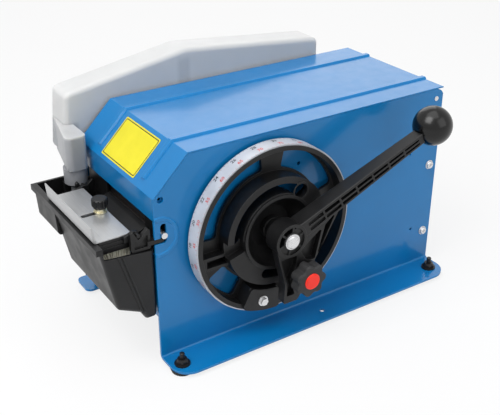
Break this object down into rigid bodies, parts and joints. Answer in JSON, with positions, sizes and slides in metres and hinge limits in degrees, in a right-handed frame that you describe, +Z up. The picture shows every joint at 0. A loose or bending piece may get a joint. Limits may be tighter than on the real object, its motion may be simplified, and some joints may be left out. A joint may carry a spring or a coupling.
{
  "type": "gummed tape dispenser",
  "caption": "Counter-top gummed tape dispenser with a hand lever and measuring dial at the side, a wetting tray with brushes in front and a slab water bottle.",
  "frame": {"origin": "middle of the floor plane under the bounding box", "axes": "+Z up, +X from the water tray to the back of the case, +Y from the dial and lever side to the bottle side"},
  "size_m": [0.4054, 0.2698, 0.2528],
  "materials": {
    "blue_paint": "glossy powder coat",
    "black_plastic": "moulded, fine grain",
    "black_gloss": "polished",
    "scale_white": "satin printed band",
    "red_plastic": "glossy",
    "bright_steel": "zinc plated",
    "dark_steel": "blackened",
    "blade_steel": "ground",
    "plate_steel": "bright rolled sheet",
    "brass": "turned",
    "rubber": "matte",
    "roller_rubber": "ground",
    "gear_nylon": "moulded nylon",
    "bristle": "natural bristle",
    "bottle_plastic": "translucent blow moulding",
    "cap_plastic": "satin"
  },
  "bodies": {
    "housing": {"dial_side_plate": "blue_paint", "bottle_side_plate": "blue_paint", "front_apron": "blue_paint", "back_panel": "blue_paint", "base_pan": "blue_paint", "spacer_rods": "bright_steel", "case_screws": "bright_steel", "cover_hinge_pins": "bright_steel", "rubber_feet": "rubber", "foot_studs": "dark_steel", "foot_nuts": "dark_steel", "shaft_bushes": "brass", "pivot_rods": "bright_steel", "roll_bay_rods": "bright_steel", "fixed_blade": "blade_steel", "tape_chute": "black_plastic", "water_tray": "black_plastic", "tray_hooks": "black_plastic", "brush_holder": "black_plastic", "brush_bristles": "bristle", "bottle_shelf": "blue_paint"},
    "cover": {"top_cover": "blue_paint"},
    "lever": {"main_shaft": "bright_steel", "shaft_retainers": "bright_steel", "lever_arm": "black_plastic", "ball_knob": "black_gloss", "clamp_bolt": "bright_steel", "drive_gear": "gear_nylon"},
    "dial": {"measuring_wheel": "black_plastic", "scale_band": "scale_white", "stop_block": "black_plastic", "stop_screw": "bright_steel"},
    "clamp_knob": {"star_knob": "black_plastic", "knob_cap": "red_plastic"},
    "counter_train": {"countershaft": "bright_steel", "counter_pinion": "bright_steel", "counter_gear": "gear_nylon"},
    "feed_drive": {"feed_shaft": "bright_steel", "feed_pinion": "bright_steel", "one_way_clutch": "bright_steel", "feed_roller_core": "gear_nylon", "feed_roller_sleeve": "roller_rubber"},
    "pressure_swing": {"pressure_arms": "bright_steel", "pressure_axle": "bright_steel"},
    "pressure_roll": {"pressure_roller": "roller_rubber"},
    "knife": {"knife_frame": "dark_steel", "moving_blade": "blade_steel"},
    "cradle_front": {"cradle_roller_front": "black_plastic"},
    "cradle_back": {"cradle_roller_back": "black_plastic"},
    "near_guide": {"near_tape_guide": "bright_steel"},
    "far_guide": {"far_tape_guide": "bright_steel"},
    "tray_latch": {"latch_bail": "bright_steel"},
    "weight_bar": {"pressure_bar": "black_plastic"},
    "tape_plate": {"guide_plate": "plate_steel"},
    "thumb_screw": {"thumb_screw_stem": "brass", "thumb_collar": "brass", "thumb_knob": "black_plastic"},
    "bottle": {"water_bottle": "bottle_plastic", "bottle_cap": "cap_plastic"},
    "valve": {"bottle_valve": "cap_plastic"}
  },
  "joints": [
    {"name": "lever_swing", "type": "hinge", "parent": "housing", "child": "lever", "pos_m": [-0.02575, 0.0121, 0.122], "axis": [0, -1, 0], "range_deg": [0, 110]},
    {"name": "length_set", "type": "hinge", "parent": "lever", "child": "dial", "pos_m": [-0.02575, 0.0121, 0.122], "axis": [0, -1, 0], "range_deg": [-85, 38]},
    {"name": "star_knob_turn", "type": "hinge", "parent": "lever", "child": "clamp_knob", "pos_m": [-0.01065, -0.1279, 0.07961], "axis": [0, -1, 0], "range_deg": [0, 360]},
    {"name": "cover_hinge", "type": "hinge", "parent": "housing", "child": "cover", "pos_m": [0.19325, 0.0121, 0.205], "axis": [0, 1, 0], "range_deg": [0, 90]},
    {"name": "bottle_lift", "type": "slide", "parent": "housing", "child": "bottle", "axis": [0, 0, 1], "range_m": [0, 0.12]},
    {"name": "valve_press", "type": "slide", "parent": "bottle", "child": "valve", "axis": [0, 0, 1], "range_m": [0, 0.003]},
    {"name": "latch_lift", "type": "slide", "parent": "housing", "child": "tray_latch", "axis": [0, 0, 1], "range_m": [0, 0.008]},
    {"name": "weight_lift", "type": "hinge", "parent": "housing", "child": "weight_bar", "pos_m": [-0.1601, -0.0009, 0.14568], "axis": [0, 1, 0], "range_deg": [0, 25]},
    {"name": "tape_plate_slide", "type": "slide", "parent": "weight_bar", "child": "tape_plate", "axis": [1, 0, 0], "range_m": [0, 0.008]},
    {"name": "thumb_screw_turn", "type": "hinge", "parent": "weight_bar", "child": "thumb_screw", "pos_m": [-0.16975, -0.0044, 0.152], "axis": [0, 0, 1], "range_deg": [0, 360]},
    {"name": "counter_spin", "type": "hinge", "parent": "housing", "child": "counter_train", "pos_m": [-0.08121, 0.0121, 0.07928], "axis": [0, -1, 0], "range_deg": [-440, 0]},
    {"name": "feed_spin", "type": "hinge", "parent": "housing", "child": "feed_drive", "pos_m": [-0.10775, 0.0121, 0.124], "axis": [0, -1, 0], "range_deg": [0, 1320]},
    {"name": "pressure_swing_hinge", "type": "hinge", "parent": "housing", "child": "pressure_swing", "pos_m": [-0.06175, -0.0009, 0.175], "axis": [0, 1, 0], "range_deg": [0, 8]},
    {"name": "pressure_roll_spin", "type": "hinge", "parent": "pressure_swing", "child": "pressure_roll", "pos_m": [-0.1001, -0.0009, 0.15466], "axis": [0, -1, 0], "continuous": true},
    {"name": "knife_swing", "type": "hinge", "parent": "housing", "child": "knife", "pos_m": [0.03825, -0.0009, 0.138], "axis": [0, 1, 0], "range_deg": [0, 3]},
    {"name": "cradle_front_spin", "type": "hinge", "parent": "housing", "child": "cradle_front", "pos_m": [0.06325, -0.0009, 0.03846], "axis": [0, -1, 0], "continuous": true},
    {"name": "cradle_back_spin", "type": "hinge", "parent": "housing", "child": "cradle_back", "pos_m": [0.14725, -0.0009, 0.03846], "axis": [0, -1, 0], "continuous": true},
    {"name": "near_guide_slide", "type": "slide", "parent": "housing", "child": "near_guide", "axis": [0, 1, 0], "range_m": [0, 0.012]},
    {"name": "far_guide_slide", "type": "slide", "parent": "housing", "child": "far_guide", "axis": [0, -1, 0], "range_m": [0, 0.012]}
  ],
  "couplings": [
    {"joint": "counter_spin", "follows": "lever_swing", "ratio": -4},
    {"joint": "feed_spin", "follows": "lever_swing", "ratio": 12},
    {"joint": "knife_swing", "follows": "lever_swing", "ratio": 0.027272}
  ]
}
